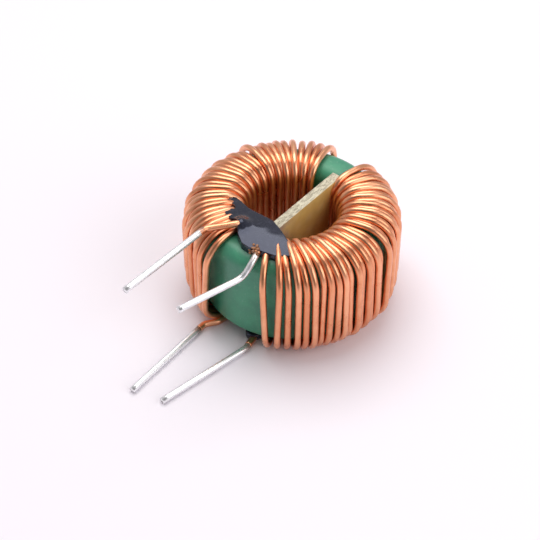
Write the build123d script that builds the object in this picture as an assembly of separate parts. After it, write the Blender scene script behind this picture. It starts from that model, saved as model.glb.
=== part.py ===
from build123d import *
import os
from math import cos, sin, radians

# A common-mode toroidal choke, lying flat on its turns. Millimetres and degrees.
# The origin is on the core's axis at the level of the lowest turns, +Z is the core's axis,
# the four leads point along -Y and a divider board stands in the bore between the windings.
# Angles called gap angles start at the front gap (-Y) and run round the side of a winding.

# Wire
wire_d = 0.88
bare_d = 0.80
solder_d = 0.91
clearance = 0.03
wire_r = wire_d / 2

# Core ring and its epoxy coat
core_outer_r = 12.7
core_bore_r = 7.65
core_height = 14.3
coat_t = 0.4
coat_corner_r = 1.3

# How the turns stand off the core: every second turn is wedged up over its neighbours
stagger_up = 0.33
stagger_in = 0.54
wall_r = 14.6
sunk_wall_r = 13.65
outer_bend_r = 3.2
sunk_bend_r = 2.3
inner_bend_r = 1.8
raised_bend_r = 2.2

# Levels, from the floor up
core_bottom = wire_d + stagger_up + clearance
core_top = core_bottom + core_height
top_turn_z = core_top + clearance + wire_r
bottom_turn_z = core_bottom - clearance - wire_r
bore_turn_r = core_bore_r - clearance - wire_r

# Turns, one list for each winding: where each turn crosses the outer wall, in gap angles,
# how far its foot leans past its shoulder, and which turns have sunk between their neighbours
right_wall = [24.3, 31.9, 37.0, 42.3, 46.6, 51.2, 55.8, 59.6, 64.0, 68.6, 72.5, 77.2, 84.5,
              92.5, 98.0, 103.5, 110.0, 117.0, 124.5, 132.0, 139.0, 145.5, 151.5, 158.0, 165.0]
right_lean = [1.8, -2.0, -0.8, -0.4, -0.3, 0.2, -1.0, -1.2, -0.6, 0.6, 1.2, 0.4, 0.2,
              -0.6, 0.5, 0.8, -0.5, 0.6, -0.4, 0.7, -0.3, 0.5, -0.6, 0.4, 3.0]
right_sunk = (6, 10)
left_wall = [8.5, 13.6, 20.6, 27.0, 33.2, 40.2, 46.0, 53.2, 60.4, 67.0, 74.6, 81.2, 88.4,
             95.0, 102.2, 109.6, 117.0, 122.4, 127.5, 132.3, 137.0, 141.6, 146.6, 152.2, 158.6]
left_lean = [-0.8, 0.6, -0.6, 0.9, -0.4, 1.0, -0.8, 0.5, 0.9, -0.7, 0.6, -0.5, 0.8,
             -0.6, 0.4, -0.8, 0.6, -0.3, 0.5, -0.4, 0.3, -0.5, 0.4, -0.6, 3.0]
left_sunk = (1, 6)
first_bore_angle = 16.0
right_last_bore_angle = 161.0
left_last_bore_angle = 164.0

# The end of each winding comes back to the front gap low down in the bore
return_z = 1.75
return_r = 4.9
return_entry = (6.9, 172.0)
return_angles = (148.0, 112.0, 76.0, 44.0)
return_last = (5.3, 26.0)
return_bend_r = 2.0
entry_bend_r = 1.2
riser_x = 0.95
riser_y = -6.6
riser_bend_r = 1.2

# Leads, as points from the winding out to the strip point and on to the tip
lead_a_root = [(-0.95, -6.6, 16.85), (-1.87, -8.97, 17.25), (-4.515, -12.49, 17.254)]
lead_a_strip = (-4.54, -13.6, 17.25)
lead_a_tip = (-4.85, -27.25, 17.2)
lead_b_root = [(0.95, -6.6, 16.5), (2.06, -9.47, 16.25)]
lead_b_strip = (3.0, -11.0, 16.2)
lead_b_bends = [(3.35, -12.55, 15.65), (2.95, -13.7, 13.95)]
lead_b_tip = (0.19, -23.13, 13.7)
lead_c_root = [(-3.84, -11.6, 0.5), (-4.2, -13.9, 0.5)]
lead_c_strip = (-4.16, -15.0, 0.5)
lead_c_tip = (-3.66, -28.82, 0.5)
lead_d_root = [(2.67, -11.28, 0.5)]
lead_d_strip = (3.02, -13.1, 0.5)
lead_d_bends = [(3.14, -13.75, 0.5)]
lead_d_tip = (0.64, -27.67, 0.5)
lead_bend_r = 1.3
tip_round = 0.2
solder_over_tip = 0.12

# Divider board
board_t = 1.1
board_x = 1.3
board_front_y = -5.6
board_back_y = 7.35
board_bottom_z = 2.6
board_top_z = 15.9
board_corner_r = 0.7

# Glue over the front of the bore and under the leads
glue_bottom_z = 10.5
turns_in_glue = 5
glue_crown = (-0.3, -7.8, 16.7)
glue_crown_r = 22.0
glue_outline = [(-7.0, -5.5), (-5.4, -5.9), (-3.6, -5.7), (-1.0, -5.6), (0.6, -4.9), (3.0, -5.6),
                (6.0, -7.4), (4.0, -9.4), (1.2, -10.4), (-0.6, -10.1), (-2.3, -8.8), (-4.8, -7.7)]
lower_glue_at = (2.2, -10.2)
lower_glue_size = (2.6, 3.6)
lower_glue_z = (0.15, core_bottom)


def at(side, radius, gap_angle, z):
    """A point at a radius and gap angle, on the right (side 1) or the left (side -1)."""
    turn = radians(gap_angle)
    return (side * radius * sin(turn), -radius * cos(turn), z)


def round_wire(points, bends, radius):
    """A round wire that follows straight runs joined by tangent bends."""
    if len(points) > 2:
        route = FilletPolyline(*points, radius=bends)
    else:
        route = Line(*points)
    section = Plane(origin=route @ 0, z_dir=route % 0) * Circle(radius)
    return sweep(section, path=route)


def turn_points(side, wall, lean, sunk, last_bore_angle):
    """The corners of all turns of one winding, and the bend at each corner."""
    points = []
    bends = []
    pitch = (last_bore_angle - first_bore_angle) / (len(wall) - 1)
    for turn, wall_angle in enumerate(wall):
        raised = turn % 2 == 1
        rise = stagger_up if raised else 0.0
        bore_r = bore_turn_r - stagger_in if raised else bore_turn_r
        bore_bend = raised_bend_r if raised else inner_bend_r
        out_r = sunk_wall_r if turn in sunk else wall_r
        out_bend = sunk_bend_r if turn in sunk else outer_bend_r
        bore_angle = first_bore_angle + turn * pitch
        half_lean = lean[turn] / 2
        points += [at(side, bore_r, bore_angle, bottom_turn_z - rise),
                   at(side, bore_r, bore_angle, top_turn_z + rise),
                   at(side, out_r, wall_angle - half_lean, top_turn_z + rise),
                   at(side, out_r, wall_angle + half_lean, bottom_turn_z - rise)]
        bends += [bore_bend, bore_bend, out_bend, out_bend]
    return points, bends


def return_points(side):
    """The run that brings the far end of a winding back to the front gap."""
    points = [at(side, *return_entry, bottom_turn_z)]
    points += [at(side, return_r, angle, return_z) for angle in return_angles]
    points += [at(side, *return_last, return_z), (side * riser_x, riser_y, return_z)]
    bends = [entry_bend_r] + [return_bend_r] * len(return_angles) + [entry_bend_r, riser_bend_r]
    return points, bends


def winding(side, wall, lean, sunk, last_bore_angle, start, finish):
    """One winding with its two leads, up to the strip points."""
    turns, turn_bends = turn_points(side, wall, lean, sunk, last_bore_angle)
    back, back_bends = return_points(side)
    points = start[::-1] + turns + back + finish
    start_bends = [lead_bend_r] * (len(start) - 1)
    finish_bends = [inner_bend_r] + [lead_bend_r] * (len(finish) - 2)
    return round_wire(points, start_bends + turn_bends + back_bends + finish_bends, wire_r)


def past(points, distance):
    """The last of some points moved on along its run."""
    end = Vector(*points[-1])
    run = (end - Vector(*points[-2])).normalized()
    return points[:-1] + [tuple(end + run * distance)]


def bare_lead(points):
    """The stripped copper end of a lead."""
    return round_wire(points, [lead_bend_r] * (len(points) - 2), bare_d / 2)


def lead_solder(points):
    """The tin over a stripped lead, closed and rounded at the tip."""
    bends = [lead_bend_r] * (len(points) - 2)
    tinned = round_wire(past(points, solder_over_tip), bends, solder_d / 2)
    tip = Vector(*points[-1])
    end_edge = tinned.edges().filter_by(GeomType.CIRCLE).sort_by_distance(tip)[0]
    return fillet(end_edge, tip_round) - bare_lead(points)


def ring(outer_r, bore_r, height, corner_r, bottom_z):
    """A ring of rectangular section with rounded corners."""
    middle = Pos((outer_r + bore_r) / 2, bottom_z + height / 2)
    section = RectangleRounded(outer_r - bore_r, height, corner_r)
    return revolve(Plane.XZ * middle * section, Axis.Z)


def ferrite_core():
    """The bare ferrite ring inside the coat."""
    return ring(core_outer_r - coat_t, core_bore_r + coat_t, core_height - 2 * coat_t,
                coat_corner_r - coat_t, core_bottom + coat_t)


def coated_ring():
    """The whole coated ring, the outside of the epoxy coat."""
    return ring(core_outer_r, core_bore_r, core_height, coat_corner_r, core_bottom)


def divider_board():
    """The glass-fibre board between the windings, its far top corner rounded off."""
    length = board_back_y - board_front_y
    height = board_top_z - board_bottom_z
    middle = Pos(board_x, (board_back_y + board_front_y) / 2, (board_top_z + board_bottom_z) / 2)
    board = middle * Box(board_t, length, height)
    far_top = board.edges().filter_by(Axis.X).group_by(Axis.Z)[-1].sort_by(Axis.Y)[-1]
    return fillet(far_top, board_corner_r)


def wires_in_glue(side, wall, lean, sunk, last_bore_angle, lead):
    """The first turns of a winding and its upper lead, each as a short wire of its own."""
    points, bends = turn_points(side, wall, lean, sunk, last_bore_angle)
    wires = []
    for turn in range(turns_in_glue):
        corner = 4 * turn
        wires.append(round_wire(points[corner:corner + 3], [bends[corner + 1]], wire_r))
    riser = (side * riser_x, riser_y, return_z)
    lead_bends = [inner_bend_r] + [lead_bend_r] * (len(lead) - 2)
    wires.append(round_wire([riser] + lead, lead_bends, wire_r))
    return wires


def moulded_round(blob, neighbours):
    """Glue with the room of its neighbours taken out, without its loose crumbs."""
    for neighbour in neighbours:
        blob = (blob - neighbour).solids().sort_by(SortBy.VOLUME)[-1]
    return blob


def glue_over_bore(neighbours):
    """The poured glue in the front of the bore, moulded round all that it touches."""
    crown_x, crown_y, crown_z = glue_crown
    outline = make_face(Spline(*glue_outline, periodic=True))
    blob = extrude(Pos(0, 0, glue_bottom_z) * outline, crown_z - glue_bottom_z)
    blob &= Pos(crown_x, crown_y, crown_z - glue_crown_r) * Sphere(glue_crown_r)
    return moulded_round(blob, neighbours)


def glue_under_core(neighbours):
    """The small pad of glue that holds a lower lead to the underside of the core."""
    low, high = lower_glue_z
    width, length = lower_glue_size
    pad = Pos(*lower_glue_at, low) * extrude(Ellipse(width / 2, length / 2), high - low)
    return moulded_round(pad, neighbours)


def write(node, shape):
    """Write one node's STEP file."""
    shape.label = node
    export_step(shape, os.path.join("parts", node + ".step"))


os.makedirs("parts", exist_ok=True)

lead_a = [lead_a_strip, lead_a_tip]
lead_b = [lead_b_strip] + lead_b_bends + [lead_b_tip]
lead_c = [lead_c_strip, lead_c_tip]
lead_d = [lead_d_strip] + lead_d_bends + [lead_d_tip]

left_turns = (-1, left_wall, left_lean, left_sunk, left_last_bore_angle)
right_turns = (1, right_wall, right_lean, right_sunk, right_last_bore_angle)
upper_left = lead_a_root + [lead_a_strip]
upper_right = lead_b_root + [lead_b_strip]
lower_right = lead_d_root + [lead_d_strip]
left = winding(*left_turns, lead_c_root + [lead_c_strip], upper_left)
left = left + bare_lead(lead_a) + bare_lead(lead_c)
right = winding(*right_turns, lower_right, upper_right)
right = right + bare_lead(lead_b) + bare_lead(lead_d)

ferrite = ferrite_core()
coated = coated_ring()
board = divider_board()

write("ferrite_core", ferrite)
write("core_coating", coated - ferrite)
write("winding_left", left)
write("winding_right", right)
write("solder_upper_left", lead_solder(lead_a))
write("solder_upper_right", lead_solder(lead_b))
write("solder_lower_left", lead_solder(lead_c))
write("solder_lower_right", lead_solder(lead_d))
write("divider_board", board)
in_glue = wires_in_glue(*left_turns, upper_left) + wires_in_glue(*right_turns, upper_right)
write("glue_top", glue_over_bore([coated, board] + in_glue))
lower_lead = round_wire([at(1, bore_turn_r, first_bore_angle, bottom_turn_z)] + lower_right,
                        [lead_bend_r], wire_r)
write("glue_bottom", glue_under_core([lower_lead]))
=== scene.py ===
import logging
import math
from dataclasses import dataclass
from enum import Enum
from typing import NamedTuple

import bmesh
import bpy
from bpy.types import Material, NodeSocket, NodeTree, Object
from mathutils import Matrix, Vector, noise


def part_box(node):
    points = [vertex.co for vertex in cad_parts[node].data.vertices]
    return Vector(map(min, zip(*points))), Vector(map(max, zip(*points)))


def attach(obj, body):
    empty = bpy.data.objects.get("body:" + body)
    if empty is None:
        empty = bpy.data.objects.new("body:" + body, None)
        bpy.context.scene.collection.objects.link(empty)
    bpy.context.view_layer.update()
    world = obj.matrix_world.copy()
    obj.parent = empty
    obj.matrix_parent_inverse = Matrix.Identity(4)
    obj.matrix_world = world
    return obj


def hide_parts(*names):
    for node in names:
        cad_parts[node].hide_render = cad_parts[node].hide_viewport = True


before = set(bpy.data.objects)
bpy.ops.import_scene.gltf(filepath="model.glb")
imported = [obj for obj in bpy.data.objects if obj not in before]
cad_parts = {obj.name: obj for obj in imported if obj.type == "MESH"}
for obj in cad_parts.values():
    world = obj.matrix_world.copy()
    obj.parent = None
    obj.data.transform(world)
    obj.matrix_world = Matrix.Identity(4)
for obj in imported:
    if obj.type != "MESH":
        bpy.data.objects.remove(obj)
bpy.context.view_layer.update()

# One millimetre in scene units.
MM = 0.001
BODY = "root"

# A range, or a place seen from above in millimetres.
Pair = tuple[float, float]
# A colour, or a place.
Triple = tuple[float, float, float]

log = logging.getLogger("toroidal_choke")


class Side(Enum):
    """Which side of the divider a winding is on."""

    LEFT = -1
    RIGHT = 1


class Bend(NamedTuple):
    """A corner of a wire's route and the radius of its bend, in millimetres."""

    point: Vector
    radius: float


def at(side: Side, radius: float, gap_angle: float, height: float) -> Vector:
    """Place a point on a winding.

    Args:
        side: The side of the divider.
        radius: Distance from the core's axis, in millimetres.
        gap_angle: Angle round from the front gap, in degrees.
        height: Height over the floor, in millimetres.

    Returns:
        The point, in millimetres.
    """
    turn = math.radians(gap_angle)
    return Vector((side.value * radius * math.sin(turn), -radius * math.cos(turn), height))


def deselect_all() -> None:
    """Leave object mode with nothing selected."""
    if bpy.context.object and bpy.context.object.mode != "OBJECT":
        bpy.ops.object.mode_set(mode="OBJECT")
    bpy.ops.object.select_all(action="DESELECT")


def edit_all() -> None:
    """Enter edit mode with everything selected."""
    bpy.ops.object.mode_set(mode="EDIT")
    bpy.ops.mesh.select_all(action="SELECT")


def make_active(piece: Object) -> None:
    """Select one object alone and make it active.

    Args:
        piece: The object.
    """
    deselect_all()
    piece.select_set(True)
    bpy.context.view_layer.objects.active = piece


def apply_modifiers(piece: Object) -> None:
    """Apply every modifier of a piece, in order.

    Args:
        piece: The piece.
    """
    make_active(piece)
    for modifier in list(piece.modifiers):
        bpy.ops.object.modifier_apply(modifier=modifier.name)


def add_modifier(piece: Object, kind: str, **settings: object) -> None:
    """Add a modifier to a piece.

    Args:
        piece: The piece.
        kind: The modifier's type.
        settings: Its settings, by name.
    """
    modifier = piece.modifiers.new(kind.lower(), kind)
    for name, value in settings.items():
        setattr(modifier, name, value)


def set_material(piece: Object, *materials: Material) -> None:
    """Give a piece these materials in place of what it has.

    Args:
        piece: The piece.
        materials: Its materials, in the order of their slots.
    """
    piece.data.materials.clear()
    for material in materials:
        piece.data.materials.append(material)


def dress(piece: Object, node: str, slot: str, *materials: Material) -> Object:
    """Finish a piece, put it on the body and hide the CAD node that it stands for.

    Args:
        piece: The piece.
        node: The CAD node's name, or an empty one where there is none.
        slot: The material slot's name; not used.
        materials: Its materials, in the order of their slots.

    Returns:
        The same piece.
    """
    set_material(piece, *materials)
    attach(piece, BODY)
    if node:
        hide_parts(node)
    return piece


def copy_of_node(node: str, name: str) -> Object:
    """Copy a CAD node as a piece of its own, with its corners welded.

    Args:
        node: The CAD node's name.
        name: The new piece's name.

    Returns:
        The new piece.
    """
    piece = bpy.data.objects.new(name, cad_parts[node].data.copy())
    bpy.context.scene.collection.objects.link(piece)
    weld = bmesh.new()
    weld.from_mesh(piece.data)
    bmesh.ops.remove_doubles(weld, verts=weld.verts, dist=0.002 * MM)
    weld.to_mesh(piece.data)
    weld.free()
    return piece


def jitter(seed: float, size: float) -> float:
    """Give a fixed small number for a seed, between minus and plus size."""
    return size * noise.noise(Vector((seed * 1.7 + 0.31, seed * 0.53 + 7.1, 2.9)))


class Mottle:
    """The shared node group for uneven surfaces: a noise, held between two levels."""

    NAME = "mottle"
    NUMBERS = ("Scale", "Detail", "Roughness", "Low", "High")

    @classmethod
    def tree(cls) -> NodeTree:
        """Build the group, or find it where it is already built.

        Returns:
            The group's node tree.
        """
        if cls.NAME in bpy.data.node_groups:
            return bpy.data.node_groups[cls.NAME]
        group = bpy.data.node_groups.new(cls.NAME, "ShaderNodeTree")
        group.interface.new_socket("Vector", in_out="INPUT", socket_type="NodeSocketVector")
        for name in cls.NUMBERS:
            group.interface.new_socket(name, in_out="INPUT", socket_type="NodeSocketFloat")
        group.interface.new_socket("Mask", in_out="OUTPUT", socket_type="NodeSocketFloat")
        given = group.nodes.new("NodeGroupInput")
        result = group.nodes.new("NodeGroupOutput")
        pattern = group.nodes.new("ShaderNodeTexNoise")
        held = group.nodes.new("ShaderNodeMapRange")
        for name in ("Vector", "Scale", "Detail", "Roughness"):
            group.links.new(given.outputs[name], pattern.inputs[name])
        group.links.new(pattern.outputs["Fac"], held.inputs["Value"])
        group.links.new(given.outputs["Low"], held.inputs["From Min"])
        group.links.new(given.outputs["High"], held.inputs["From Max"])
        group.links.new(held.outputs["Result"], result.inputs["Mask"])
        return group


class NodeKit:
    """A material's node tree, with short calls for the nodes that the finishes use."""

    def __init__(self, name: str) -> None:
        """Start a material with a Principled shader.

        Args:
            name: The material's name.
        """
        self.material = bpy.data.materials.new(name)
        self.material.use_nodes = True
        self.tree = self.material.node_tree
        self.shader = self.tree.nodes["Principled BSDF"]
        self.place = self.tree.nodes.new("ShaderNodeTexCoord").outputs["Object"]

    def set(self, **values: object) -> None:
        """Set constant values on the shader's own sockets, with _ for a space."""
        for key, value in values.items():
            self.shader.inputs[key.replace("_", " ")].default_value = value

    def link(self, source: NodeSocket, target: NodeSocket) -> None:
        """Join two sockets."""
        self.tree.links.new(source, target)

    def to_shader(self, source: NodeSocket, socket: str) -> None:
        """Join a socket to one of the shader's."""
        self.link(source, self.shader.inputs[socket])

    def feed(self, socket: NodeSocket, value: object) -> None:
        """Join a socket to another one, or set it to a constant.

        Args:
            socket: The socket to feed.
            value: A socket, a number, or a colour as three numbers.
        """
        if isinstance(value, NodeSocket):
            self.link(value, socket)
        else:
            socket.default_value = (*value, 1.0) if isinstance(value, tuple) else value

    def mottle(self, scale: float, low: float = 0.3, high: float = 0.7, detail: float = 4.0,
               rough: float = 0.5, stretch: Triple = (1, 1, 1)) -> NodeSocket:
        """Place the shared mottle group, in object space.

        Args:
            scale: Waves in each metre.
            low: The noise level that gives 0.
            high: The noise level that gives 1.
            detail: Octaves.
            rough: Share of each finer octave.
            stretch: Scale of the pattern along X, Y and Z.

        Returns:
            The mask socket.
        """
        mapping = self.tree.nodes.new("ShaderNodeMapping")
        mapping.inputs["Scale"].default_value = stretch
        self.link(self.place, mapping.inputs["Vector"])
        node = self.tree.nodes.new("ShaderNodeGroup")
        node.node_tree = Mottle.tree()
        values = {"Scale": scale, "Detail": detail, "Roughness": rough, "Low": low, "High": high}
        for key, value in values.items():
            node.inputs[key].default_value = value
        self.link(mapping.outputs["Vector"], node.inputs["Vector"])
        return node.outputs["Mask"]

    def ramp(self, source: NodeSocket, *stops: tuple) -> NodeSocket:
        """Turn a factor into a colour.

        Args:
            source: The factor.
            stops: Pairs of position and colour, the colour as three numbers.

        Returns:
            The colour socket.
        """
        node = self.tree.nodes.new("ShaderNodeValToRGB")
        elements = node.color_ramp.elements
        while len(elements) < len(stops):
            elements.new(0.5)
        for element, (position, colour) in zip(elements, stops):
            element.position = position
            element.color = (*colour, 1.0)
        self.link(source, node.inputs["Fac"])
        return node.outputs["Color"]

    def spread(self, source: NodeSocket, low: float, high: float,
               start: float = 0.0, end: float = 1.0) -> NodeSocket:
        """Map a factor onto a range, held at its ends.

        Args:
            source: The factor.
            low: The result at start.
            high: The result at end.
            start: The factor that gives low.
            end: The factor that gives high.

        Returns:
            The result socket.
        """
        node = self.tree.nodes.new("ShaderNodeMapRange")
        values = {"From Min": start, "From Max": end, "To Min": low, "To Max": high}
        for key, value in values.items():
            node.inputs[key].default_value = value
        self.link(source, node.inputs["Value"])
        return node.outputs["Result"]

    def mix(self, factor: NodeSocket, first: object, second: object) -> NodeSocket:
        """Blend two colours.

        Args:
            factor: How much of the second shows.
            first: A colour or a socket.
            second: A colour or a socket.

        Returns:
            The colour socket.
        """
        node = self.tree.nodes.new("ShaderNodeMix")
        node.data_type = "RGBA"
        self.link(factor, node.inputs["Factor"])
        self.feed(node.inputs[6], first)
        self.feed(node.inputs[7], second)
        return node.outputs[2]

    def maths(self, operation: str, first: object, second: object) -> NodeSocket:
        """Combine two numbers.

        Args:
            operation: The maths node's operation.
            first: A number or a socket.
            second: A number or a socket.

        Returns:
            The result socket.
        """
        node = self.tree.nodes.new("ShaderNodeMath")
        node.operation = operation
        self.feed(node.inputs[0], first)
        self.feed(node.inputs[1], second)
        return node.outputs["Value"]

    def attribute(self, name: str) -> NodeSocket:
        """Read a number stored on the piece's points.

        Args:
            name: The stored attribute's name.

        Returns:
            The number's socket.
        """
        node = self.tree.nodes.new("ShaderNodeAttribute")
        node.attribute_name = name
        return node.outputs["Fac"]

    def bump(self, height: NodeSocket, depth: float, strength: float = 1.0) -> None:
        """Raise the surface by a height map.

        Args:
            height: The height socket, from 0 to 1.
            depth: The height's size in metres.
            strength: How much of it shows.
        """
        node = self.tree.nodes.new("ShaderNodeBump")
        node.inputs["Distance"].default_value = depth
        node.inputs["Strength"].default_value = strength
        self.link(height, node.inputs["Height"])
        self.to_shader(node.outputs["Normal"], "Normal")


@dataclass(frozen=True)
class EnamelledCopper:
    """Drawn copper wire under clear enamel."""

    bright: Triple = (0.95, 0.46, 0.26)
    deep: Triple = (0.76, 0.29, 0.14)
    cloud_scale: float = 480.0
    cloud_share: float = 0.45
    turn_share: float = 0.55
    roughness: Pair = (0.25, 0.37)
    waves_per_metre: float = 260.0
    wave_depth: float = 0.03 * MM

    def build(self) -> Material:
        """Make the material.

        Returns:
            The material.
        """
        kit = NodeKit("enamelled_copper")
        kit.set(Metallic=1.0, Coat_Weight=0.25, Coat_Roughness=0.16, Coat_IOR=1.5)
        cloud = kit.mottle(self.cloud_scale, detail=5.0, rough=0.6)
        shade = kit.maths("ADD", kit.maths("MULTIPLY", cloud, self.cloud_share),
                          kit.maths("MULTIPLY", kit.attribute("turn_shade"), self.turn_share))
        kit.to_shader(kit.ramp(shade, (0.2, self.deep), (0.8, self.bright)), "Base Color")
        kit.to_shader(kit.spread(cloud, *self.roughness), "Roughness")
        wander = kit.tree.nodes.new("ShaderNodeTexNoise")
        wander.noise_dimensions = "1D"
        wander.inputs["Scale"].default_value = self.waves_per_metre
        kit.link(kit.attribute("along"), wander.inputs["W"])
        kit.bump(wander.outputs["Fac"], self.wave_depth, 0.5)
        return kit.material


@dataclass(frozen=True)
class GreenEpoxy:
    """The satin green epoxy coat of the core."""

    lit: Triple = (0.06, 0.33, 0.18)
    deep: Triple = (0.028, 0.19, 0.12)
    speck: Triple = (0.2, 0.42, 0.3)
    cloud_scale: float = 190.0
    speck_scale: float = 2600.0
    roughness: Pair = (0.36, 0.52)
    relief: float = 0.045 * MM

    def build(self) -> Material:
        """Make the material.

        Returns:
            The material.
        """
        kit = NodeKit("green_epoxy")
        kit.set(Coat_Weight=0.2, Coat_Roughness=0.3, IOR=1.5)
        cloud = kit.mottle(self.cloud_scale, low=0.32, high=0.68, detail=6.0, rough=0.62)
        fine = kit.mottle(self.speck_scale, low=0.6, high=0.8, detail=3.0)
        colour = kit.ramp(cloud, (0.0, self.deep), (1.0, self.lit))
        kit.to_shader(kit.mix(kit.maths("MULTIPLY", fine, 0.4), colour, self.speck), "Base Color")
        kit.to_shader(kit.spread(cloud, *self.roughness), "Roughness")
        kit.bump(kit.maths("ADD", kit.maths("MULTIPLY", fine, 0.25), cloud), self.relief, 0.7)
        return kit.material


@dataclass(frozen=True)
class Grainy:
    """A surface with one grain for its colour, its roughness and its relief."""

    name: str
    dark: Triple
    pale: Triple
    grain_scale: float
    grain_levels: Pair
    grain_rough: float
    roughness: Pair
    relief: float
    coat: Pair = (0.0, 0.03)
    stretch: Triple = (1.0, 1.0, 1.0)

    def build(self) -> Material:
        """Make the material.

        Returns:
            The material.
        """
        kit = NodeKit(self.name)
        kit.set(Coat_Weight=self.coat[0], Coat_Roughness=self.coat[1])
        grain = kit.mottle(self.grain_scale, *self.grain_levels, rough=self.grain_rough,
                           stretch=self.stretch)
        kit.to_shader(kit.ramp(grain, (0.0, self.dark), (1.0, self.pale)), "Base Color")
        kit.to_shader(kit.spread(grain, *self.roughness), "Roughness")
        kit.bump(grain, self.relief)
        return kit.material


# The fired grey-black ring inside the coat.
FERRITE = Grainy("ferrite", (0.045, 0.045, 0.05), (0.11, 0.11, 0.12), 2200.0, (0.35, 0.75), 0.6,
                 (0.55, 0.8), 0.02 * MM)
# The pale sawn edge of the board, with broken fibres.
BOARD_EDGE = Grainy("board_edge", (0.4, 0.34, 0.24), (0.72, 0.66, 0.5), 3200.0, (0.36, 0.54), 0.7,
                    (0.7, 0.85), 0.06 * MM, stretch=(1.6, 0.5, 0.5))
# Burnt flux, a brittle brown resin with a gloss.
AMBER_FLUX = Grainy("amber_flux", (0.1, 0.035, 0.02), (0.4, 0.16, 0.05), 1400.0, (0.35, 0.65), 0.6,
                    (0.2, 0.4), 0.06 * MM, coat=(0.5, 0.1))


@dataclass(frozen=True)
class DipTin:
    """Dipped tin over a stripped lead, stained with flux where the dip ended."""

    tin: Triple = (0.95, 0.95, 0.96)
    dull: Triple = (0.84, 0.84, 0.86)
    flux: Triple = (0.2, 0.09, 0.035)
    stain_length: float = 1.6 * MM
    cloud_scale: float = 700.0
    stain_scale: float = 1500.0
    wave_scale: float = 300.0
    roughness: Pair = (0.36, 0.24)
    relief: float = 0.04 * MM

    def build(self) -> Material:
        """Make the material.

        Returns:
            The material.
        """
        kit = NodeKit("dip_tin")
        cloud = kit.mottle(self.cloud_scale, high=0.62, detail=5.0, rough=0.6)
        fade = kit.spread(kit.attribute("along"), 1.0, 0.0, 0.0, self.stain_length)
        patches = kit.mottle(self.stain_scale, low=0.32, high=0.5, detail=3.0)
        stain = kit.maths("MULTIPLY", fade, patches)
        tin = kit.ramp(cloud, (0.0, self.dull), (1.0, self.tin))
        kit.to_shader(kit.mix(stain, tin, self.flux), "Base Color")
        kit.to_shader(kit.spread(stain, 0.8, 0.3), "Metallic")
        kit.to_shader(kit.spread(cloud, *self.roughness), "Roughness")
        kit.bump(kit.mottle(self.wave_scale, low=0.2, high=0.8, detail=2.0), self.relief, 0.6)
        return kit.material


@dataclass(frozen=True)
class BoardFace:
    """The ochre face of the glass-fibre board, with its weave just showing."""

    ochre: Triple = (0.74, 0.54, 0.17)
    brown: Triple = (0.58, 0.38, 0.11)
    resin: Triple = (0.86, 0.74, 0.46)
    smear: Triple = (0.34, 0.27, 0.22)
    thread_bands: float = 130.0
    cloud_scale: float = 240.0
    smear_scale: float = 330.0
    smear_y: Pair = (-5.0 * MM, -1.0 * MM)
    roughness: Pair = (0.35, 0.5)
    relief: float = 0.012 * MM

    def build(self) -> Material:
        """Make the material.

        Returns:
            The material.
        """
        kit = NodeKit("board_face")
        kit.set(Coat_Weight=0.25, Coat_Roughness=0.2)
        waves = []
        for direction in ("Y", "Z"):
            node = kit.tree.nodes.new("ShaderNodeTexWave")
            node.bands_direction = direction
            node.inputs["Scale"].default_value = self.thread_bands
            node.inputs["Distortion"].default_value = 1.2
            kit.link(kit.place, node.inputs["Vector"])
            waves.append(node.outputs["Fac"])
        weave = kit.maths("MULTIPLY", *waves)
        cloud = kit.mottle(self.cloud_scale, high=0.65, rough=0.55)
        colour = kit.ramp(cloud, (0.0, self.brown), (1.0, self.ochre))
        colour = kit.mix(kit.maths("MULTIPLY", weave, 0.16), colour, self.resin)
        axes = kit.tree.nodes.new("ShaderNodeSeparateXYZ")
        kit.link(kit.place, axes.inputs["Vector"])
        near_glue = kit.spread(axes.outputs["Y"], 1.0, 0.0, *self.smear_y)
        patches = kit.mottle(self.smear_scale, low=0.35, high=0.6)
        smeared = kit.maths("MULTIPLY", near_glue, patches)
        kit.to_shader(kit.mix(smeared, colour, self.smear), "Base Color")
        kit.to_shader(kit.spread(cloud, *self.roughness), "Roughness")
        kit.bump(weave, self.relief, 0.5)
        return kit.material


@dataclass(frozen=True)
class BlackGlue:
    """Poured black epoxy, glossy and a little wavy."""

    black: Triple = (0.013, 0.014, 0.022)
    dusty: Triple = (0.045, 0.047, 0.07)
    sheen: Triple = (0.66, 0.72, 1.0)
    dust_scale: float = 1800.0
    sheen_scale: float = 300.0
    wave_scale: float = 260.0
    roughness: Pair = (0.14, 0.24)
    relief: float = 0.05 * MM

    def build(self) -> Material:
        """Make the material.

        Returns:
            The material.
        """
        kit = NodeKit("black_glue")
        kit.set(IOR=1.5, Coat_Weight=0.15, Coat_Roughness=0.1, Specular_Tint=(*self.sheen, 1.0))
        dust = kit.mottle(self.dust_scale, low=0.5, high=0.85, rough=0.7)
        kit.to_shader(kit.ramp(dust, (0.0, self.black), (1.0, self.dusty)), "Base Color")
        patches = kit.mottle(self.sheen_scale, detail=3.0)
        kit.to_shader(kit.spread(patches, *self.roughness), "Roughness")
        kit.bump(kit.mottle(self.wave_scale, low=0.1, high=0.9, detail=2.0), self.relief, 0.5)
        return kit.material


@dataclass
class Finishes:
    """Every finish of the part, each built once."""

    copper: Material
    epoxy: Material
    ferrite: Material
    tin: Material
    board_face: Material
    board_edge: Material
    glue: Material
    flux: Material

    @classmethod
    def make(cls) -> "Finishes":
        """Build all finishes.

        Returns:
            The set of them.
        """
        kinds = (EnamelledCopper(), GreenEpoxy(), FERRITE, DipTin(), BoardFace(), BOARD_EDGE,
                 BlackGlue(), AMBER_FLUX)
        return cls(*(kind.build() for kind in kinds))


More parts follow.
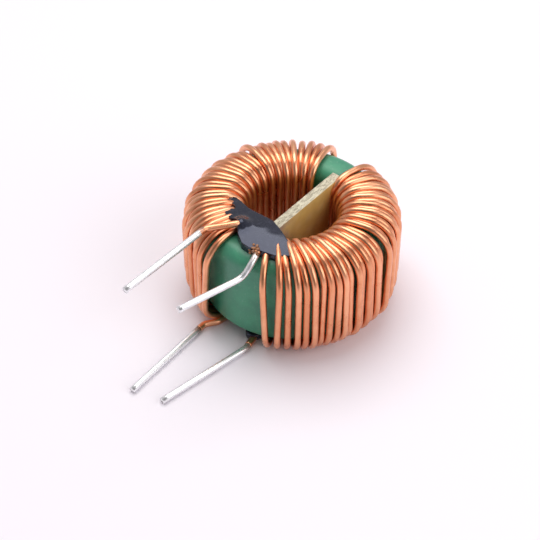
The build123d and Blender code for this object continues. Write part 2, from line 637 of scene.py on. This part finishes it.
@dataclass
class RoundWire:
    """A round wire along a route of straight runs and bends."""

    name: str
    route: list[Bend]
    radius: float
    steps: int = 8
    ring_half_sides: int = 4
    smooth_below: float = 60.0
    shade_length: float = 48.0
    shade_swing: float = 0.9
    same_place: float = 0.01

    def corner(self, index: int) -> tuple[Vector, Vector, Vector, Vector]:
        """Work out one bend.

        Args:
            index: The corner's place in the route.

        Returns:
            Where the bend starts and ends, and the vectors to its two inner handles.
        """
        here, radius = self.route[index]
        into = (here - self.route[index - 1].point).normalized()
        away = (self.route[index + 1].point - here).normalized()
        angle = into.angle(away)
        reach = radius * math.tan(angle / 2)
        handle = 4 / 3 * math.tan(angle / 4) * radius
        return here - into * reach, here + away * reach, into * handle, away * handle

    def bezier_points(self) -> list[tuple[Vector, Vector, Vector]]:
        """List the spline's points.

        Returns:
            The left handle, place and right handle of each, in millimetres.
        """
        knots = [(self.route[0].point, Vector(), Vector())]
        for index in range(1, len(self.route) - 1):
            start, end, first, second = self.corner(index)
            knots += [(start, None, first), (end, second, None)]
        knots.append((self.route[-1].point, None, Vector()))
        points = []
        for index, (place, before, after) in enumerate(knots):
            previous = knots[max(index - 1, 0)][0]
            following = knots[min(index + 1, len(knots) - 1)][0]
            left = place - before if before is not None else place.lerp(previous, 1 / 3)
            straight_on = after is None or not after.length
            right = place.lerp(following, 1 / 3) if straight_on else place + after
            points.append((left, place, right))
        return points

    def build(self) -> Object:
        """Model the wire as a bevelled curve, made a mesh, with its length stored along it.

        Returns:
            The wire.
        """
        deselect_all()
        bpy.ops.curve.primitive_bezier_curve_add()
        piece = bpy.context.object
        piece.name = self.name
        curve = piece.data
        curve.splines.clear()
        spline = curve.splines.new("BEZIER")
        points = self.bezier_points()
        spline.bezier_points.add(len(points) - 1)
        for knot, (left, place, right) in zip(spline.bezier_points, points):
            knot.handle_left_type = knot.handle_right_type = "FREE"
            knot.handle_left, knot.co, knot.handle_right = left * MM, place * MM, right * MM
        spline.resolution_u = self.steps
        curve.resolution_u = self.steps
        curve.dimensions = "3D"
        curve.bevel_depth = self.radius * MM
        curve.bevel_resolution = self.ring_half_sides
        curve.use_fill_caps = True
        make_active(piece)
        bpy.ops.object.convert(target="MESH")
        piece = bpy.context.object
        bpy.ops.object.shade_smooth_by_angle(angle=math.radians(self.smooth_below))
        self.store_length(piece)
        self.close_ends(piece)
        return piece

    def store_length(self, piece: Object) -> None:
        """Store the distance along the wire, and a shade that changes from turn to turn.

        Args:
            piece: The wire. Its end caps may be rings of their own, before or after the tube.
        """
        mesh = piece.data
        sides = 4 + 2 * self.ring_half_sides
        rings = (2 * len(self.route) - 3) * self.steps + 1
        if len(mesh.vertices) not in (rings * sides, (rings + 2) * sides):
            raise ValueError(f"{self.name} has {len(mesh.vertices)} points, not {rings} rings")
        along = mesh.attributes.new("along", "FLOAT", "POINT")
        shade = mesh.attributes.new("turn_shade", "FLOAT", "POINT")
        groups = [range(start, start + sides) for start in range(0, len(mesh.vertices), sides)]
        centres = [sum((mesh.vertices[i].co for i in group), Vector()) / sides for group in groups]
        begin = self.route[0].point * MM
        first = 0
        if len(groups) > rings:
            first = max(place for place in range(3)
                        if (centres[place] - begin).length < self.same_place * MM)
        tube = centres[first:first + rings]
        lengths = [0.0]
        for before, after in zip(tube, tube[1:]):
            lengths.append(lengths[-1] + (after - before).length)
        for index, vertex in enumerate(mesh.vertices):
            ring = index // sides - first
            at_far_end = (vertex.co - tube[-1]).length < 2 * self.radius * MM
            if 0 <= ring < rings:
                distance = lengths[ring]
            else:
                distance = lengths[-1] if at_far_end else 0.0
            along.data[index].value = distance
            swing = jitter(distance / (self.shade_length * MM), self.shade_swing)
            shade.data[index].value = 0.5 + swing

    @staticmethod
    def close_ends(piece: Object) -> None:
        """Join the end caps to the wire, and turn all faces outwards.

        Args:
            piece: The wire.
        """
        make_active(piece)
        edit_all()
        bpy.ops.mesh.remove_doubles(threshold=0.0002 * MM)
        bpy.ops.mesh.normals_make_consistent(inside=False)
        bpy.ops.object.mode_set(mode="OBJECT")


@dataclass
class Levels:
    """Heights and radii that the turns share, from the coated ring."""

    wire_r: float = 0.465
    clearance: float = 0.01
    wedged_in: float = 0.6
    wedged_over_bore: float = 0.3
    wedged_over_wall: float = 0.06
    wedged_under: float = 0.33
    wall_r: float = 14.48
    sunk_wall_r: float = 13.95
    proud_wall_r: float = 14.73
    proud_over: float = 0.4
    outer_bend_r: float = 3.8
    sunk_bend_r: float = 3.2
    inner_bend_r: float = 2.47
    wedged_bend_r: float = 2.7
    bore_r: float = 7.65

    def top_z(self) -> float:
        """Give the height of a turn that lies on the ring."""
        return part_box("core_coating")[1].z / MM + self.clearance + self.wire_r

    def bottom_z(self) -> float:
        """Give the height of a turn under the ring."""
        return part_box("core_coating")[0].z / MM - self.clearance - self.wire_r


@dataclass
class Winding:
    """One winding of enamelled wire, with its two leads up to where they are stripped."""

    side: Side
    wall_angles: tuple[float, ...]
    leans: tuple[float, ...]
    sunk: tuple[int, ...]
    proud: int
    last_bore_angle: float
    lead_in: tuple[Triple, ...]
    lead_out: tuple[Triple, ...]
    levels: Levels
    first_bore_angle: float = 16.0
    lead_bend_r: float = 1.3
    rise_bend_r: float = 1.8
    free_lean: float = 3.0
    wall_unevenness: float = 0.12
    back_z: float = 1.75
    back_r: float = 4.9
    back_angles: tuple[float, ...] = (148.0, 112.0, 76.0, 44.0)
    back_start: Pair = (6.9, 172.0)
    back_end: Pair = (5.3, 26.0)
    back_gap: Pair = (0.95, -6.6)
    back_bend_r: float = 2.0
    back_end_bend_r: float = 1.2

    @property
    def node(self) -> str:
        """The CAD node that this winding stands for."""
        return "winding_left" if self.side is Side.LEFT else "winding_right"

    def lean(self, turn: int) -> float:
        """Find how far a turn's foot stands past its shoulder.

        Args:
            turn: The turn's place, counted from the front gap.

        Returns:
            The angle, in degrees.
        """
        if turn < len(self.leans):
            return self.leans[turn]
        return jitter(turn * 1.9 + self.side.value * 0.37, self.free_lean)

    def turn(self, turn: int) -> list[Bend]:
        """List the four corners of one turn.

        Args:
            turn: The turn's place, counted from the front gap.

        Returns:
            Its bends low and high in the bore, then high and low at the wall.
        """
        levels = self.levels
        wedged = turn % 2 == 1
        sunk = turn in self.sunk
        pitch = (self.last_bore_angle - self.first_bore_angle) / (len(self.wall_angles) - 1)
        bore_angle = self.first_bore_angle + turn * pitch
        bore_r = levels.bore_r - levels.clearance - levels.wire_r
        bore_r -= levels.wedged_in if wedged else 0.0
        bore_bend = levels.wedged_bend_r if wedged else levels.inner_bend_r
        out_r = levels.sunk_wall_r if sunk else levels.wall_r
        out_r += jitter(turn * 2.7 + self.side.value, self.wall_unevenness)
        out_bend = levels.sunk_bend_r if sunk else levels.outer_bend_r
        low = levels.bottom_z() - (levels.wedged_under if wedged else 0.0)
        over_bore = levels.top_z() + (levels.wedged_over_bore if wedged else 0.0)
        over_wall = levels.top_z() + (levels.wedged_over_wall if wedged else 0.0)
        if turn == self.proud:
            out_r = levels.proud_wall_r
            over_wall += levels.proud_over
        wall_angle = self.wall_angles[turn]
        half_lean = self.lean(turn) / 2
        return [Bend(at(self.side, bore_r, bore_angle, low), bore_bend),
                Bend(at(self.side, bore_r, bore_angle, over_bore), bore_bend),
                Bend(at(self.side, out_r, wall_angle - half_lean, over_wall), out_bend),
                Bend(at(self.side, out_r, wall_angle + half_lean, low), out_bend)]

    def way_back(self) -> list[Bend]:
        """List the corners of the run that comes back low in the bore to the front gap.

        Returns:
            Its bends.
        """
        radius, angle = self.back_start
        bends = [Bend(at(self.side, radius, angle, self.levels.bottom_z()), self.back_end_bend_r)]
        bends += [Bend(at(self.side, self.back_r, angle, self.back_z), self.back_bend_r)
                  for angle in self.back_angles]
        bends.append(Bend(at(self.side, *self.back_end, self.back_z), self.back_end_bend_r))
        x, y = self.back_gap
        gap = Vector((self.side.value * x, y, self.back_z))
        return [*bends, Bend(gap, self.back_end_bend_r)]

    def route(self) -> list[Bend]:
        """List the whole route of the wire, from one strip point to the other.

        Returns:
            Its bends, with the two strip points as the first and the last.
        """
        start = [Bend(Vector(point), self.lead_bend_r) for point in self.lead_in]
        finish = [Bend(Vector(point), self.lead_bend_r) for point in self.lead_out]
        finish[0] = Bend(finish[0].point, self.rise_bend_r)
        turns = [bend for turn in range(len(self.wall_angles)) for bend in self.turn(turn)]
        return start + turns + self.way_back() + finish

    def build(self, copper: Material) -> Object:
        """Model and dress the winding.

        Args:
            copper: The wire's finish.

        Returns:
            The finished piece.
        """
        name = f"wound_wire_{self.side.name.lower()}"
        piece = RoundWire(name, self.route(), self.levels.wire_r).build()
        return dress(piece, self.node, "enamelled_copper", copper)


@dataclass
class TinnedLead:
    """The tinned end of one lead."""

    node: str
    points: tuple[Triple, ...]
    bend_r: float = 1.3
    radius: float = 0.4535
    steps: int = 14

    def build(self, tin: Material) -> Object:
        """Model and dress the tinned end.

        Args:
            tin: The tin's finish.

        Returns:
            The finished piece.
        """
        route = [Bend(Vector(point), self.bend_r) for point in self.points]
        name = self.node.replace("solder", "tinned_end")
        piece = RoundWire(name, route, self.radius, self.steps).build()
        return dress(piece, self.node, "solder", tin)


@dataclass
class CoatedRing:
    """The ferrite ring and its green coat."""

    outer_r: float = 12.7
    bore_r: float = 7.65
    corner_r: float = 2.0
    corner_segments: int = 12
    steps: int = 192
    smooth_below: float = 50.0

    def build(self, epoxy: Material) -> Object:
        """Spin the coat's rounded section round the axis.

        Args:
            epoxy: The coat's finish.

        Returns:
            The finished piece.
        """
        low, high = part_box("core_coating")
        middle = ((self.outer_r + self.bore_r) / 2 * MM, 0, (low.z + high.z) / 2)
        deselect_all()
        bpy.ops.mesh.primitive_plane_add(size=1, location=middle, rotation=(math.pi / 2, 0, 0))
        piece = bpy.context.object
        piece.name = "green_coated_ring"
        piece.scale = ((self.outer_r - self.bore_r) * MM, high.z - low.z, 1)
        bpy.ops.object.transform_apply()
        edit_all()
        bpy.ops.mesh.bevel(offset=self.corner_r * MM, segments=self.corner_segments,
                           affect="VERTICES")
        bpy.ops.mesh.select_all(action="SELECT")
        bpy.ops.mesh.delete(type="ONLY_FACE")
        bpy.ops.mesh.select_all(action="SELECT")
        bpy.ops.mesh.spin(steps=self.steps, angle=2 * math.pi, center=(0, 0, 0),
                          axis=(0, 0, 1))
        bpy.ops.mesh.select_all(action="SELECT")
        bpy.ops.mesh.remove_doubles(threshold=0.001 * MM)
        bpy.ops.mesh.normals_make_consistent(inside=False)
        bpy.ops.object.mode_set(mode="OBJECT")
        bpy.ops.object.shade_smooth_by_angle(angle=math.radians(self.smooth_below))
        return dress(piece, "core_coating", "green_epoxy", epoxy)


@dataclass
class DividerBoard:
    """The board that parts the windings, with its far top corner over the ring's shoulder."""

    thickness: float = 1.4
    shoulder_z: float = 13.4
    far_top_y: float = 8.5
    corner_r: float = 0.45
    corner_segments: int = 5
    edge_bevel: float = 0.05
    bevel_over: float = 40.0
    smooth_below: float = 35.0
    pick_within: float = 0.1

    def build(self, face: Material, edge: Material) -> Object:
        """Model and dress the board.

        Args:
            face: The finish of its two faces.
            edge: The finish of its sawn edges.

        Returns:
            The finished piece.
        """
        low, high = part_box("divider_board")
        deselect_all()
        bpy.ops.mesh.primitive_cube_add(size=1, location=(low + high) / 2)
        piece = bpy.context.object
        piece.name = "divider_plate"
        piece.scale = (self.thickness * MM, high.y - low.y, high.z - low.z)
        bpy.ops.object.transform_apply()
        edit_all()
        bpy.ops.mesh.bisect(plane_co=(0, 0, self.shoulder_z * MM), plane_no=(0, 0, 1))
        bpy.ops.object.mode_set(mode="OBJECT")
        nearest = high - Vector((1, 1, 1)) * self.pick_within * MM
        for vertex in piece.data.vertices:
            vertex.select = vertex.co.y > nearest.y and vertex.co.z > nearest.z
        for line in piece.data.edges:
            line.select = all(piece.data.vertices[i].select for i in line.vertices)
        bpy.ops.object.mode_set(mode="EDIT")
        bpy.ops.transform.translate(value=(0, self.far_top_y * MM - high.y, 0))
        bpy.ops.mesh.bevel(offset=self.corner_r * MM, segments=self.corner_segments, affect="EDGES")
        bpy.ops.object.mode_set(mode="OBJECT")
        add_modifier(piece, "BEVEL", width=self.edge_bevel * MM, segments=2, limit_method="ANGLE",
                     angle_limit=math.radians(self.bevel_over))
        apply_modifiers(piece)
        bpy.ops.object.shade_smooth_by_angle(angle=math.radians(self.smooth_below))
        dress(piece, "divider_board", "glass_fibre_board", edge, face)
        for polygon in piece.data.polygons:
            polygon.material_index = 1 if abs(polygon.normal.x) > 0.9 else 0
        return piece


@dataclass
class PouredGlue:
    """The black glue poured over the front of the bore, with two runs over the left turns."""

    outline: tuple[Pair, ...] = (
        (-7.3, -5.1), (-6.4, -5.5), (-5.0, -5.9), (-4.5, -6.4), (-5.4, -7.0), (-5.75, -7.5),
        (-4.8, -8.0), (-3.8, -8.35), (-2.8, -8.3), (-1.9, -9.1), (-1.0, -10.1), (0.4, -11.0),
        (1.7, -11.1), (2.8, -10.7), (3.8, -10.45), (5.2, -10.0), (6.0, -9.3), (7.1, -8.3),
        (5.5, -7.2), (3.9, -6.4), (2.3, -5.7), (0.9, -5.2), (-1.9, -5.3), (-3.4, -5.2),
        (-4.8, -4.7), (-5.9, -4.5), (-6.9, -4.7))
    under_z: float = 15.3
    plug_z: float = 10.6
    plug_r: float = 7.5
    rim_z: float = 16.35
    crown: Triple = (0.3, -7.8, 17.0)
    crown_stretch: float = 1.3
    spare: float = 0.4
    fall: float = 0.05
    fall_power: float = 1.35
    over_lead: Triple = (-1.75, -8.5, 0.85)
    over_lead_r: float = 1.1
    wave_height: float = 0.05
    wave_length: float = 1.6
    voxel: float = 0.1
    smoothings: int = 4

    def slab(self, name: str, low: float, high: float, widest: float) -> Object:
        """Raise the outline into a slab.

        Args:
            name: The slab's name.
            low: The height of its underside, in millimetres.
            high: The height of its top, in millimetres.
            widest: The largest radius that it may reach, in millimetres.

        Returns:
            The slab.
        """
        deselect_all()
        bpy.ops.mesh.primitive_circle_add(vertices=len(self.outline), radius=MM, fill_type="NGON",
                                          location=(0, 0, low * MM))
        piece = bpy.context.object
        piece.name = name
        bpy.ops.object.transform_apply()
        for vertex, (x, y) in zip(piece.data.vertices, self.outline):
            shrink = min(1.0, widest / math.hypot(x, y))
            vertex.co = Vector((x * shrink, y * shrink, low)) * MM
        edit_all()
        rise = (0, 0, (high - low) * MM)
        bpy.ops.mesh.extrude_region_move(TRANSFORM_OT_translate={"value": rise})
        bpy.ops.mesh.select_all(action="SELECT")
        bpy.ops.mesh.normals_make_consistent(inside=False)
        bpy.ops.object.mode_set(mode="OBJECT")
        return piece

    def crown_height(self, place: Vector) -> float:
        """Find the height of the glue's skin over a place.

        Args:
            place: The place, in scene units.

        Returns:
            The height, in millimetres.
        """
        x, y, height = self.crown
        away = math.hypot(place.x / MM - x, (place.y / MM - y) * self.crown_stretch)
        lead_x, lead_y, rise = self.over_lead
        beside = math.hypot(place.x / MM - lead_x, place.y / MM - lead_y)
        height += rise * math.exp(-(beside / self.over_lead_r) ** 2)
        wave = self.wave_height * noise.noise(place / (self.wave_length * MM))
        return height - self.fall * away ** self.fall_power + wave

    def build(self, glue: Material) -> Object:
        """Model the pour and dress it.

        Args:
            glue: The glue's finish.

        Returns:
            The finished piece.
        """
        full_height = self.crown[2] + self.spare
        over = self.slab("poured_glue", self.under_z, full_height, math.inf)
        plug = self.slab("glue_in_bore", self.plug_z, self.rim_z, self.plug_r)
        make_active(over)
        plug.select_set(True)
        bpy.ops.object.join()
        piece = bpy.context.object
        add_modifier(piece, "REMESH", mode="VOXEL", voxel_size=self.voxel * MM)
        apply_modifiers(piece)
        for vertex in piece.data.vertices:
            if vertex.co.z > self.rim_z * MM:
                skin = self.crown_height(vertex.co) * MM
                share = (vertex.co.z / MM - self.rim_z) / (full_height - self.rim_z)
                vertex.co.z = self.rim_z * MM + share * (skin - self.rim_z * MM)
        add_modifier(piece, "SMOOTH", iterations=self.smoothings)
        apply_modifiers(piece)
        bpy.ops.object.shade_smooth()
        return dress(piece, "glue_top", "black_glue", glue)


@dataclass
class GluePad:
    """The small pad of glue under the ring, softened from its CAD solid."""

    voxel: float = 0.14
    swell: float = 0.06
    smoothings: int = 6

    def build(self, glue: Material) -> Object:
        """Soften the solid into a poured form and dress it.

        Args:
            glue: The glue's finish.

        Returns:
            The finished piece.
        """
        piece = copy_of_node("glue_bottom", "lower_glue")
        add_modifier(piece, "REMESH", mode="VOXEL", voxel_size=self.voxel * MM)
        add_modifier(piece, "SMOOTH", iterations=self.smoothings)
        apply_modifiers(piece)
        for vertex in piece.data.vertices:
            vertex.co += vertex.normal * self.swell * MM
        bpy.ops.object.shade_smooth()
        return dress(piece, "glue_bottom", "black_glue", glue)


@dataclass
class FluxCrumbs:
    """Crumbs of burnt flux where the upper right lead comes out of the glue."""

    crumbs: tuple[tuple[float, float, float, float], ...] = (
        (2.3, -10.75, 16.5, 0.3), (1.8, -10.9, 16.2, 0.22), (2.5, -11.2, 16.4, 0.26),
        (3.3, -11.2, 16.5, 0.22), (2.2, -11.3, 16.1, 0.2), (2.95, -10.7, 16.7, 0.26),
        (2.0, -10.4, 16.6, 0.2), (2.6, -10.4, 16.8, 0.22), (1.6, -10.6, 16.5, 0.16))
    lump_length: float = 0.35
    lump_share: float = 0.8

    def build(self, flux: Material) -> Object:
        """Model the crumbs as one piece and dress it.

        Args:
            flux: The flux's finish.

        Returns:
            The finished piece.
        """
        parts = []
        for number, (x, y, z, radius) in enumerate(self.crumbs):
            deselect_all()
            bpy.ops.mesh.primitive_ico_sphere_add(subdivisions=3, radius=radius * MM,
                                                  location=(x * MM, y * MM, z * MM))
            part = bpy.context.object
            bpy.ops.object.transform_apply()
            for vertex in part.data.vertices:
                seed = vertex.co / (self.lump_length * MM) + Vector((number, 0, 0))
                vertex.co += vertex.normal * noise.noise(seed) * self.lump_share * radius * MM
            parts.append(part)
        make_active(parts[0])
        for part in parts[1:]:
            part.select_set(True)
        bpy.ops.object.join()
        piece = bpy.context.object
        piece.name = "flux_crumbs"
        bpy.ops.object.shade_smooth()
        return dress(piece, "", "solder", flux)


class Lamp(NamedTuple):
    """A square soft light, with its place and side in metres and its power in watts."""

    name: str
    place: Triple
    side: float
    watts: float
    colour: Triple = (1.0, 1.0, 1.0)


@dataclass
class Studio:
    """The floor, the lights and the camera."""

    elevation: float = 43.5
    azimuth: float = 38.4
    roll: float = 0.6
    distance: float = 200.0
    pixels_per_mm: float = 7.25
    target_height: float = 8.39
    target_pixel: Pair = (291.6, 242.05)
    picture: float = 540.0
    sensor: float = 36.0
    clip: Pair = (0.01, 10.0)
    room_tint: Triple = (1.0, 0.98, 1.0)
    room: float = 0.56
    room_behind_camera: float = 0.16
    room_fade: Pair = (0.45, 0.92)
    floor_side: float = 3.0
    floor_colour: Triple = (0.93, 0.88, 0.94)
    lamp_aim: float = 8.0
    lamps: tuple[Lamp, ...] = (
        Lamp("key_light", (-0.08, 0.06, 0.3), 0.26, 0.7, (1.0, 0.99, 0.97)),
        Lamp("side_light", (0.26, 0.02, 0.2), 0.26, 0.4))

    def towards_camera(self) -> Vector:
        """Give the direction from the part to the camera.

        Returns:
            The direction, one long.
        """
        rise, turn = math.radians(self.elevation), math.radians(self.azimuth)
        flat = math.cos(rise)
        return Vector((math.sin(turn) * flat, -math.cos(turn) * flat, math.sin(rise)))

    def camera(self) -> None:
        """Set the camera where the photograph was taken from."""
        turn, tilt = math.radians(self.azimuth), math.radians(self.roll)
        back = self.towards_camera()
        target = Vector((0, 0, self.target_height))
        place = target + back * self.distance
        level = Vector((math.cos(turn), math.sin(turn), 0))
        upright = back.cross(level)
        right = level * math.cos(tilt) + upright * math.sin(tilt)
        up = upright * math.cos(tilt) - level * math.sin(tilt)
        focal = self.pixels_per_mm * self.distance
        half = self.picture / 2
        across, down = ((half - pixel) / focal for pixel in self.target_pixel)
        back = (back - right * across + up * down).normalized()
        right = up.cross(back).normalized()
        up = back.cross(right)
        data = bpy.data.cameras.new("photo_camera")
        data.sensor_width = self.sensor
        data.lens = focal / self.picture * self.sensor
        data.clip_start, data.clip_end = self.clip
        camera = bpy.data.objects.new("photo_camera", data)
        bpy.context.scene.collection.objects.link(camera)
        matrix = Matrix((right, up, back)).transposed().to_4x4()
        matrix.translation = place * MM
        camera.matrix_world = matrix
        bpy.context.scene.camera = camera

    def hang(self, lamp: Lamp) -> None:
        """Hang a light so that it faces the part.

        Args:
            lamp: The light.
        """
        data = bpy.data.lights.new(lamp.name, "AREA")
        data.size, data.energy, data.color = lamp.side, lamp.watts, lamp.colour
        light = bpy.data.objects.new(lamp.name, data)
        bpy.context.scene.collection.objects.link(light)
        light.location = lamp.place
        away = Vector(lamp.place) - Vector((0, 0, self.lamp_aim * MM))
        light.rotation_euler = away.to_track_quat("Z", "Y").to_euler()

    def world(self) -> None:
        """Fill the room with soft white light, dimmer from the side where the camera stands."""
        world = bpy.data.worlds.new("soft_room")
        bpy.context.scene.world = world
        world.use_nodes = True
        tree = world.node_tree
        background = tree.nodes["Background"]
        background.inputs["Color"].default_value = (*self.room_tint, 1.0)
        place = tree.nodes.new("ShaderNodeTexCoord")
        facing = tree.nodes.new("ShaderNodeVectorMath")
        facing.operation = "DOT_PRODUCT"
        facing.inputs[1].default_value = self.towards_camera()
        strength = tree.nodes.new("ShaderNodeMapRange")
        values = (*self.room_fade, self.room, self.room_behind_camera)
        for key, value in zip(("From Min", "From Max", "To Min", "To Max"), values):
            strength.inputs[key].default_value = value
        tree.links.new(place.outputs["Generated"], facing.inputs[0])
        tree.links.new(facing.outputs["Value"], strength.inputs["Value"])
        tree.links.new(strength.outputs["Result"], background.inputs["Strength"])

    def build(self) -> None:
        """Set up the whole studio."""
        deselect_all()
        bpy.ops.mesh.primitive_plane_add(size=self.floor_side, location=(0, 0, 0))
        floor = bpy.context.object
        floor.name = "floor"
        kit = NodeKit("pale_floor")
        kit.set(Base_Color=(*self.floor_colour, 1.0), Roughness=0.9)
        set_material(floor, kit.material)
        self.world()
        for lamp in self.lamps:
            self.hang(lamp)
        self.camera()
        bpy.context.scene.view_settings.view_transform = "Standard"


def windings() -> tuple[Winding, Winding]:
    """Lay out the two windings, from the photograph where they are visible.

    Returns:
        The left one and the right one.
    """
    levels = Levels()
    left = Winding(
        side=Side.LEFT,
        wall_angles=(13.75, 18.5, 22.5, 26.5, 30.5, 34.5, 39.0, 43.5, 48.0, 52.5, 57.0, 62.5, 67.5,
                     73.0, 78.0, 82.5, 87.0, 91.5, 96.0, 101.0, 106.0, 112.0, 117.0, 121.5, 126.0,
                     130.5, 135.0, 141.0, 147.0, 153.0, 159.0, 165.5),
        leans=(5.5, 2.0, -0.6, 0.9, -0.4, 1.0),
        sunk=(3, 5, 7, 9, 12, 14, 16, 18, 20, 22, 24),
        proud=21,
        last_bore_angle=164.5,
        lead_in=((-4.16, -15.0, 0.515), (-4.2, -13.9, 0.515), (-3.0, -12.3, 0.515)),
        lead_out=((-0.95, -6.6, 16.2), (-1.87, -8.97, 17.2), (-4.515, -12.49, 17.23),
                  (-4.54, -13.6, 17.23)),
        levels=levels)
    right = Winding(
        side=Side.RIGHT,
        wall_angles=(24.3, 31.9, 37.0, 42.3, 46.6, 51.2, 55.8, 59.6, 64.0, 68.4, 72.5, 76.6, 80.2,
                     84.0, 87.6, 91.4, 95.4, 99.6, 104.0, 108.4, 112.6, 116.6, 120.6, 124.6, 128.6,
                     132.6, 136.6, 141.0, 146.0, 152.0, 158.5, 165.5),
        leans=(1.8, -2.0, -0.8, -0.4, -0.3, 0.2, -1.0, -1.2, -0.6, 0.6, 1.2, 0.4, 0.2),
        sunk=(6, 10, 12, 14, 16, 18, 20, 22, 24, 26),
        proud=17,
        last_bore_angle=162.0,
        lead_in=((3.02, -13.1, 0.515), (2.67, -11.28, 0.515)),
        lead_out=((0.95, -6.6, 16.5), (2.06, -9.47, 16.25), (3.0, -11.0, 16.2)),
        levels=levels)
    return left, right


def tinned_leads() -> tuple[TinnedLead, ...]:
    """Lay out the four tinned ends, from where the dip ended to the tip.

    Returns:
        The upper left, upper right, lower left and lower right one.
    """
    return (
        TinnedLead("solder_upper_left", ((-4.517, -12.6, 17.244), (-4.85, -27.3, 17.2))),
        TinnedLead("solder_upper_right", ((3.0, -11.0, 16.2), (3.35, -12.55, 15.65),
                                          (2.95, -13.7, 13.95), (0.19, -23.2, 13.7)), bend_r=2.2),
        TinnedLead("solder_lower_left", ((-4.16, -15.0, 0.5), (-3.66, -28.9, 0.5))),
        TinnedLead("solder_lower_right", ((3.02, -13.1, 0.5), (3.14, -13.75, 0.5),
                                          (0.64, -27.75, 0.5))),
    )


def main() -> None:
    """Build the part piece by piece, then the studio round it."""
    finishes = Finishes.make()
    pieces = [winding.build(finishes.copper) for winding in windings()]
    pieces += [lead.build(finishes.tin) for lead in tinned_leads()]
    pieces += [CoatedRing().build(finishes.epoxy),
               DividerBoard().build(finishes.board_face, finishes.board_edge),
               PouredGlue().build(finishes.glue),
               GluePad().build(finishes.glue),
               FluxCrumbs().build(finishes.flux)]
    for piece in pieces:
        log.info("built %s", piece.name)
    set_material(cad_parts["ferrite_core"], finishes.ferrite)
    Studio().build()


if __name__ == "__main__":
    logging.basicConfig(level=logging.INFO)
    main()
